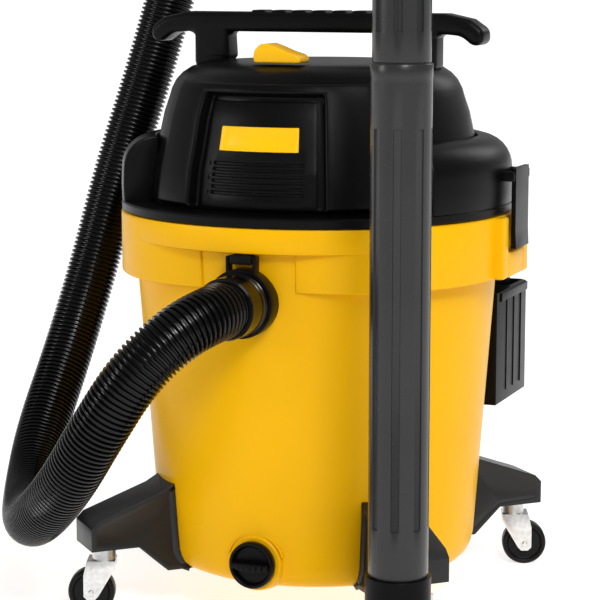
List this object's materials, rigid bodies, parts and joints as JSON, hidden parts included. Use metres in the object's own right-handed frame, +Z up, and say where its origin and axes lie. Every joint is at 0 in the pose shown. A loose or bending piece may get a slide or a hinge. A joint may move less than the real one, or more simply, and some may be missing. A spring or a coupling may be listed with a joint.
{
  "type": "shop vacuum",
  "caption": "Wet and dry shop vacuum: tapered drum on casters, lift-off motor head with carry handle, corrugated hose, two-tube wand and floor nozzle.",
  "frame": {"origin": "centre of the tank's flat underside", "axes": "+Z up, -Y towards the hose inlet and drain, +X to the right seen from the front"},
  "size_m": [0.683, 0.6222, 1.2727],
  "materials": {
    "yellow_shell": "semi-gloss moulded",
    "black_moulding": "satin moulded",
    "badge_yellow": "gloss moulded",
    "black_trim": "satin moulded",
    "hose_black": "semi-gloss corrugated",
    "wand_black": "satin extruded",
    "rubber": "matte",
    "zinc": "bright zinc plate",
    "steel": "machined",
    "wheel_black": "satin moulded",
    "filter_paper": "pleated paper",
    "foam": "open-cell foam",
    "float_white": "satin moulded",
    "bristle": "stiff bristle"
  },
  "bodies": {
    "root": {"tank": "yellow_shell", "foot_screws": "zinc", "inlet_port": "black_moulding", "inlet_deflector": "black_moulding", "caddy": "black_moulding", "caddy_screws": "zinc", "hose": "hose_black", "hose_cuff_tank": "hose_black", "hose_cuff_wand": "hose_black", "wand_upper": "wand_black", "wand_lower": "wand_black", "floor_nozzle": "black_moulding", "nozzle_brush": "bristle", "caster_foot_front_left": "black_moulding", "caster_foot_front_right": "black_moulding", "caster_foot_rear_right": "black_moulding", "caster_foot_rear_left": "black_moulding"},
    "head": {"lid": "black_moulding", "lid_seal": "rubber", "motor_cover": "black_moulding", "front_panel": "black_moulding", "badge": "badge_yellow", "handle": "black_moulding", "cover_screws": "zinc", "switch_box": "black_trim", "latch_pins": "zinc", "motor": "steel", "bearings": "steel", "fan_housing": "black_moulding", "exhaust_foam": "foam", "filter_cage": "black_moulding", "filter": "filter_paper", "filter_nut": "black_trim", "blower_port": "black_moulding", "cord_gland": "rubber"},
    "rotor": {"rotor_shaft": "steel", "impeller": "black_trim"},
    "float": {"float_ball": "float_white"},
    "paddle": {"switch_paddle": "badge_yellow"},
    "latch_right": {"latch_right": "black_moulding"},
    "latch_left": {"latch_left": "black_moulding"},
    "drain_cap": {"drain_cap": "black_moulding", "drain_seal": "rubber"},
    "inlet_lock": {"inlet_lock": "black_trim"},
    "crevice_tool": {"crevice_tool": "black_moulding"},
    "caster_front_left": {"caster_fork_front_left": "zinc", "caster_axle_front_left": "zinc"},
    "wheel_front_left": {"caster_wheel_front_left": "wheel_black"},
    "caster_front_right": {"caster_fork_front_right": "zinc", "caster_axle_front_right": "zinc"},
    "wheel_front_right": {"caster_wheel_front_right": "wheel_black"},
    "caster_rear_right": {"caster_fork_rear_right": "zinc", "caster_axle_rear_right": "zinc"},
    "wheel_rear_right": {"caster_wheel_rear_right": "wheel_black"},
    "caster_rear_left": {"caster_fork_rear_left": "zinc", "caster_axle_rear_left": "zinc"},
    "wheel_rear_left": {"caster_wheel_rear_left": "wheel_black"}
  },
  "joints": [
    {"name": "head_lift", "type": "slide", "parent": "root", "child": "head", "axis": [0, 0, 1], "range_m": [0, 0.3]},
    {"name": "rotor_spin", "type": "hinge", "parent": "head", "child": "rotor", "pos_m": [0, 0, 0.5], "axis": [0, 0, 1], "continuous": true},
    {"name": "float_rise", "type": "slide", "parent": "head", "child": "float", "axis": [0, 0, 1], "range_m": [0, 0.02]},
    {"name": "switch_rock", "type": "hinge", "parent": "head", "child": "paddle", "pos_m": [0, -0.105, 0.57], "axis": [1, 0, 0], "range_deg": [-8, 8]},
    {"name": "latch_right_swing", "type": "hinge", "parent": "head", "child": "latch_right", "pos_m": [0.2315, 0.018, 0.44], "axis": [0, -1, 0], "range_deg": [0, 70]},
    {"name": "latch_left_swing", "type": "hinge", "parent": "head", "child": "latch_left", "pos_m": [-0.2315, 0.018, 0.44], "axis": [0, 1, 0], "range_deg": [0, 70]},
    {"name": "drain_turn", "type": "hinge", "parent": "root", "child": "drain_cap", "pos_m": [0, -0.184, 0.03], "axis": [0, -1, 0], "range_deg": [0, 90]},
    {"name": "inlet_lock_press", "type": "slide", "parent": "root", "child": "inlet_lock", "axis": [0, 0, -1], "range_m": [0, 0.003], "stiffness_N_per_m": 300},
    {"name": "crevice_tool_lift", "type": "slide", "parent": "root", "child": "crevice_tool", "axis": [0, 0, 1], "range_m": [0, 0.14]},
    {"name": "swivel_front_left", "type": "hinge", "parent": "root", "child": "caster_front_left", "pos_m": [-0.18173, -0.18173, 0.03], "axis": [0, 0, 1], "continuous": true},
    {"name": "roll_front_left", "type": "hinge", "parent": "caster_front_left", "child": "wheel_front_left", "pos_m": [-0.1948, -0.18674, -0.02], "axis": [0.3584, -0.9336, 0], "continuous": true},
    {"name": "swivel_front_right", "type": "hinge", "parent": "root", "child": "caster_front_right", "pos_m": [0.18173, -0.18173, 0.03], "axis": [0, 0, 1], "continuous": true},
    {"name": "roll_front_right", "type": "hinge", "parent": "caster_front_right", "child": "wheel_front_right", "pos_m": [0.17694, -0.19488, -0.02], "axis": [0.9397, -0.342, 0], "continuous": true},
    {"name": "swivel_rear_right", "type": "hinge", "parent": "root", "child": "caster_rear_right", "pos_m": [0.18173, 0.18173, 0.03], "axis": [0, 0, 1], "continuous": true},
    {"name": "roll_rear_right", "type": "hinge", "parent": "caster_rear_right", "child": "wheel_rear_right", "pos_m": [0.1948, 0.18674, -0.02], "axis": [-0.3584, 0.9336, 0], "continuous": true},
    {"name": "swivel_rear_left", "type": "hinge", "parent": "root", "child": "caster_rear_left", "pos_m": [-0.18173, 0.18173, 0.03], "axis": [0, 0, 1], "continuous": true},
    {"name": "roll_rear_left", "type": "hinge", "parent": "caster_rear_left", "child": "wheel_rear_left", "pos_m": [-0.18651, 0.19488, -0.02], "axis": [-0.9397, -0.342, 0], "continuous": true}
  ]
}
